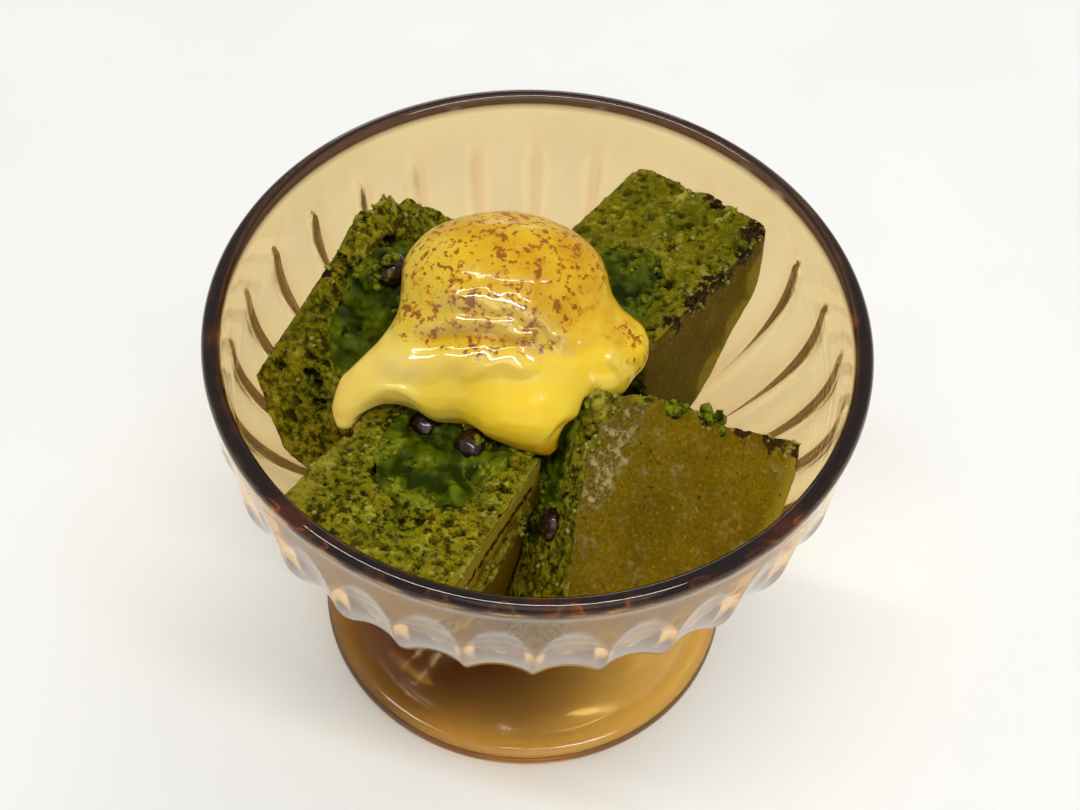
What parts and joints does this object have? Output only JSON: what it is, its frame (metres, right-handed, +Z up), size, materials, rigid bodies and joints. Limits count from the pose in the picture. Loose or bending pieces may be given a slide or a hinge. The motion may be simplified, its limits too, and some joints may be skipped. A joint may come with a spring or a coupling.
{
  "type": "green tea imagawayaki dessert in a footed glass bowl",
  "caption": "Round filled green tea cake cut in quarters, piled in a footed amber glass bowl under a spoonful of custard browned on top.",
  "frame": {"origin": "centre of the foot's underside, on the surface the bowl stands on", "axes": "+Z up along the bowl's axis, -Y towards the side that the two front cake quarters lie on"},
  "size_m": [0.1118, 0.1118, 0.0993],
  "materials": {
    "amber_glass": "polished",
    "green_tea_sponge": "matte",
    "bean_paste_filling": "matte",
    "dark_bean": "gloss",
    "custard_cream": "gloss"
  },
  "bodies": {
    "root": {"bowl": "amber_glass", "cake_front_left": "green_tea_sponge", "cake_front_right": "green_tea_sponge", "cake_back_left": "green_tea_sponge", "cake_back_right": "green_tea_sponge", "filling_front_left": "bean_paste_filling", "filling_front_right": "bean_paste_filling", "filling_back_left": "bean_paste_filling", "filling_back_right": "bean_paste_filling", "bean_front_left": "dark_bean", "bean_centre": "dark_bean", "bean_front_right": "dark_bean", "bean_back_left": "dark_bean", "custard": "custard_cream"}
  },
  "joints": []
}
